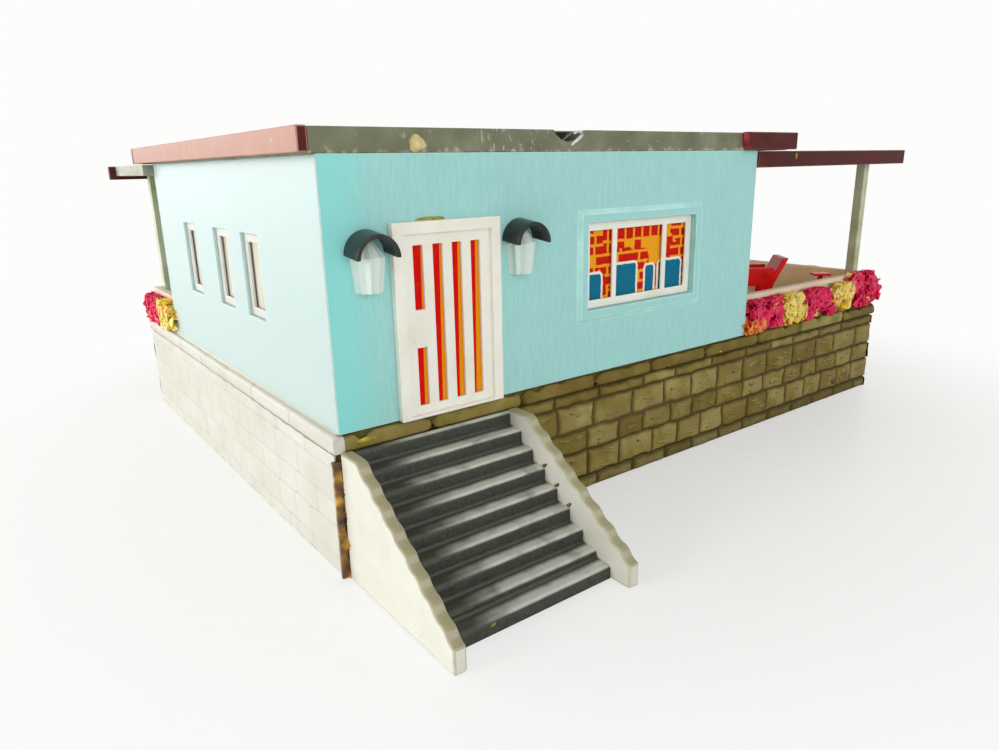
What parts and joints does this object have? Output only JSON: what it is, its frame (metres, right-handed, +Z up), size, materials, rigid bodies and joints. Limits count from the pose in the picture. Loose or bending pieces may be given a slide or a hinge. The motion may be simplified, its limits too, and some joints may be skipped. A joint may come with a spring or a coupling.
{
  "type": "model railway house",
  "caption": "Miniature flat-roofed bungalow on a block-faced base, with a front stair, covered corner terrace, flowered parapet and lift-off roof, for a model railway layout.",
  "frame": {"origin": "under the middle of the whole model, on the table that it stands on", "axes": "+X runs right along the front, +Y runs from the front stair to the back, +Z is up"},
  "size_m": [0.1392, 0.1302, 0.0558],
  "materials": {
    "wall_turquoise": "satin moulded polystyrene with fine plaster relief",
    "base_stone": "matt moulded polystyrene with block relief, grimy",
    "stair_charcoal": "semi-gloss moulded polystyrene",
    "cheek_stone": "matt moulded polystyrene",
    "ivory_frame": "semi-gloss moulded polystyrene",
    "printed_foil": "clear foil printed with coloured stripes",
    "clear_sheet": "clear sheet",
    "printed_paper": "printed card",
    "lamp_charcoal": "semi-gloss moulded polystyrene",
    "lamp_glass": "clear moulded polystyrene",
    "roof_grey": "matt moulded polystyrene, scuffed",
    "fascia_red": "satin moulded polystyrene",
    "post_olive": "satin moulded polystyrene",
    "parapet_cream": "satin moulded polystyrene",
    "flower_mix": "soft moulded plastic in mixed colours",
    "furniture_red": "gloss moulded polystyrene"
  },
  "bodies": {
    "house": {"back_window_curtain": "printed_paper", "back_window_frame": "ivory_frame", "back_window_pane": "clear_sheet", "base_slab": "base_stone", "door_curtain": "printed_foil", "flowers_back": "flower_mix", "flowers_front": "flower_mix", "flowers_left": "flower_mix", "flowers_right": "flower_mix", "front_door": "ivory_frame", "front_window_curtain": "printed_paper", "front_window_frame": "ivory_frame", "front_window_pane": "clear_sheet", "house_wall_back": "wall_turquoise", "house_wall_front": "wall_turquoise", "house_wall_left": "wall_turquoise", "house_wall_right": "wall_turquoise", "lamp_glass_left": "lamp_glass", "lamp_glass_right": "lamp_glass", "lamp_hood_left": "lamp_charcoal", "lamp_hood_right": "lamp_charcoal", "parapet_back": "parapet_cream", "parapet_front": "parapet_cream", "parapet_left": "parapet_cream", "parapet_right": "parapet_cream", "plinth_back": "base_stone", "plinth_front": "base_stone", "plinth_left": "base_stone", "plinth_right": "base_stone", "side_window_curtain_far": "printed_paper", "side_window_curtain_middle": "printed_paper", "side_window_curtain_near": "printed_paper", "side_window_frame_far": "ivory_frame", "side_window_frame_middle": "ivory_frame", "side_window_frame_near": "ivory_frame", "side_window_pane_far": "clear_sheet", "side_window_pane_middle": "clear_sheet", "side_window_pane_near": "clear_sheet", "stair_cheek_left": "cheek_stone", "stair_cheek_right": "cheek_stone", "stair_flight": "stair_charcoal", "terrace_chair": "furniture_red", "terrace_door_curtain": "printed_paper", "terrace_door_frame": "ivory_frame", "terrace_door_pane": "clear_sheet", "terrace_fascia_back": "fascia_red", "terrace_fascia_front": "fascia_red", "terrace_fascia_right": "fascia_red", "terrace_post_back_left": "post_olive", "terrace_post_back_right": "post_olive", "terrace_post_front_right": "post_olive", "terrace_roof_back": "roof_grey", "terrace_roof_side": "roof_grey", "terrace_table": "furniture_red"},
    "roof": {"roof_plate": "roof_grey", "roof_fascia_left": "fascia_red", "roof_fascia_right": "fascia_red", "roof_fascia_back": "fascia_red", "roof_fascia_front": "fascia_red"}
  },
  "joints": [
    {"name": "roof_lift", "type": "slide", "parent": "house", "child": "roof", "axis": [0, 0, 1], "range_m": [0, 0.04]}
  ]
}
